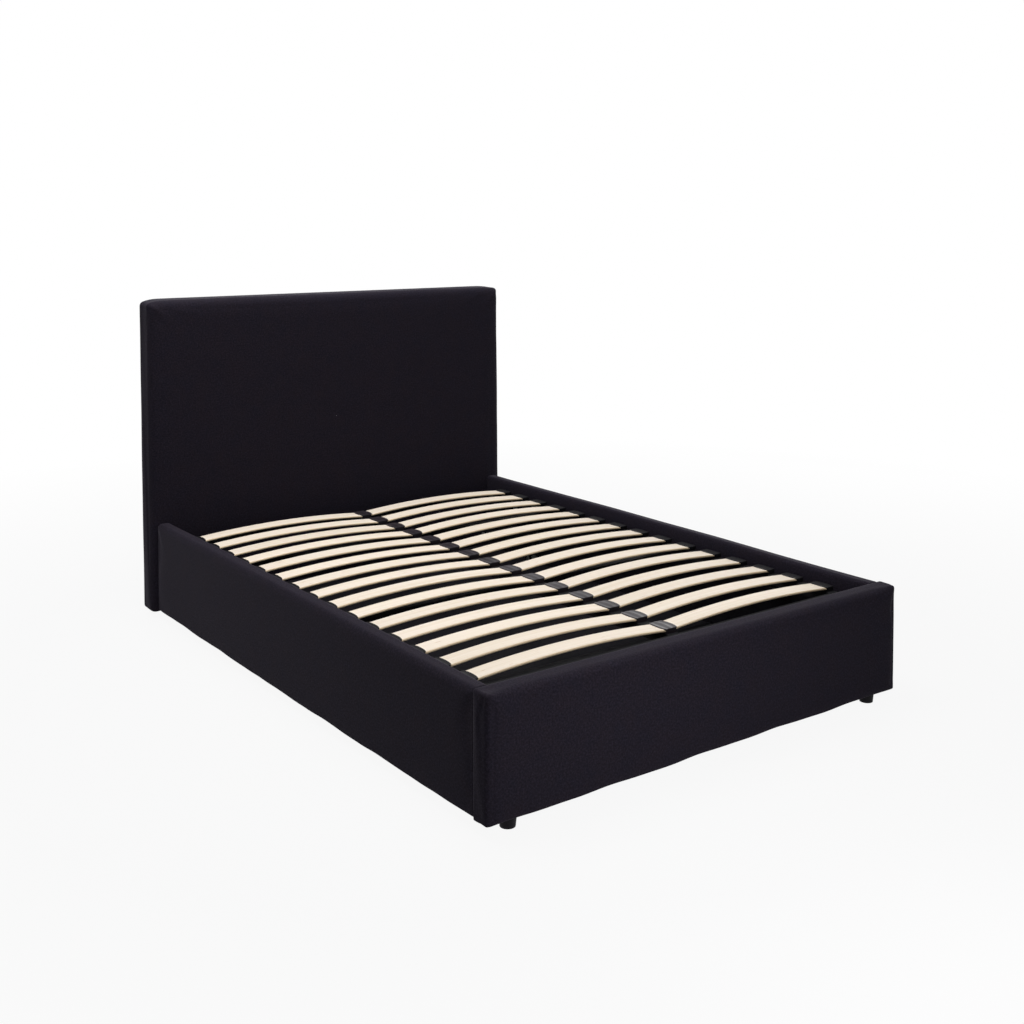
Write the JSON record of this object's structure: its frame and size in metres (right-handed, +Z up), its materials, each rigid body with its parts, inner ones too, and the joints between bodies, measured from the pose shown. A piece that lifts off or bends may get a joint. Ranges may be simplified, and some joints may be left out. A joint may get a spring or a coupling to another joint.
{
  "type": "ottoman bed frame",
  "caption": "Upholstered double ottoman bed with a tall padded headboard and a bowed-slat lid that lifts on gas struts over a storage base.",
  "frame": {"origin": "on the floor, under the middle of the whole bed", "axes": "+X to the right seen from the foot, +Y towards the headboard, +Z up"},
  "size_m": [1.486, 2.089, 1.115],
  "materials": {
    "woven_fabric": "matt plain weave",
    "back_lining": "matt nonwoven",
    "core_timber": "sawn softwood",
    "lined_board": "black lined board",
    "black_plastic": "moulded satin",
    "black_steel": "powder coat",
    "zinc_steel": "zinc plated",
    "chrome_rod": "hard chrome",
    "buffer_rubber": "moulded matt",
    "birch": "clear lacquered birch"
  },
  "bodies": {
    "bed_base": {"beam_feet": "black_plastic", "bracket_bolts": "zinc_steel", "centre_beam": "lined_board", "corner_brackets": "black_steel", "corner_feet": "black_plastic", "floor_panel_foot": "lined_board", "floor_panel_head": "lined_board", "floor_panel_middle": "lined_board", "footboard_board": "lined_board", "footboard_upholstery": "woven_fabric", "headboard_back_cloth": "back_lining", "headboard_frame": "core_timber", "headboard_panel": "core_timber", "headboard_upholstery": "woven_fabric", "hinge_pins": "zinc_steel", "hinge_plate_bolts": "zinc_steel", "left_hinge_plate": "black_steel", "left_rail_board": "lined_board", "left_rail_upholstery": "woven_fabric", "lid_rests": "black_steel", "rail_cleats": "lined_board", "rest_buffers": "buffer_rubber", "right_hinge_plate": "black_steel", "right_rail_board": "lined_board", "right_rail_upholstery": "woven_fabric", "strut_base_studs": "zinc_steel"},
    "lid": {"left_side_tube": "black_steel", "right_side_tube": "black_steel", "head_tube": "black_steel", "foot_tube": "black_steel", "centre_tube": "black_steel", "cross_tubes": "black_steel", "tube_end_plugs": "black_plastic", "left_lift_arm": "black_steel", "right_lift_arm": "black_steel", "arm_bolts": "zinc_steel", "strut_lid_studs": "zinc_steel", "left_slat_holders": "black_plastic", "right_slat_holders": "black_plastic", "centre_slat_holders": "black_plastic", "slat_row_01": "birch", "slat_row_02": "birch", "slat_row_03": "birch", "slat_row_04": "birch", "slat_row_05": "birch", "slat_row_06": "birch", "slat_row_07": "birch", "slat_row_08": "birch", "slat_row_09": "birch", "slat_row_10": "birch", "slat_row_11": "birch", "slat_row_12": "birch", "slat_row_13": "birch", "slat_row_14": "birch", "slat_row_15": "birch"},
    "left_barrel": {"left_strut_barrel": "black_steel"},
    "right_barrel": {"right_strut_barrel": "black_steel"},
    "left_rod": {"left_strut_rod": "chrome_rod"},
    "right_rod": {"right_strut_rod": "chrome_rod"}
  },
  "joints": [
    {"name": "lid_lift", "type": "hinge", "parent": "bed_base", "child": "lid", "pos_m": [0, 0.7195, 0.246], "axis": [-1, 0, 0], "range_deg": [0, 45]},
    {"name": "left_barrel_swing", "type": "hinge", "parent": "bed_base", "child": "left_barrel", "pos_m": [-0.648, 0.6165, 0.0676], "axis": [-1, 0, 0], "range_deg": [0, 22.5]},
    {"name": "left_rod_swing", "type": "hinge", "parent": "lid", "child": "left_rod", "pos_m": [-0.648, 0.5135, 0.246], "axis": [-1, 0, 0], "range_deg": [-22.5, 0]},
    {"name": "right_barrel_swing", "type": "hinge", "parent": "bed_base", "child": "right_barrel", "pos_m": [0.648, 0.6165, 0.0676], "axis": [-1, 0, 0], "range_deg": [0, 22.5]},
    {"name": "right_rod_swing", "type": "hinge", "parent": "lid", "child": "right_rod", "pos_m": [0.648, 0.5135, 0.246], "axis": [-1, 0, 0], "range_deg": [-22.5, 0]}
  ],
  "couplings": [
    {"joint": "left_barrel_swing", "follows": "lid_lift", "ratio": 0.5},
    {"joint": "left_rod_swing", "follows": "lid_lift", "ratio": -0.5},
    {"joint": "right_barrel_swing", "follows": "lid_lift", "ratio": 0.5},
    {"joint": "right_rod_swing", "follows": "lid_lift", "ratio": -0.5}
  ]
}
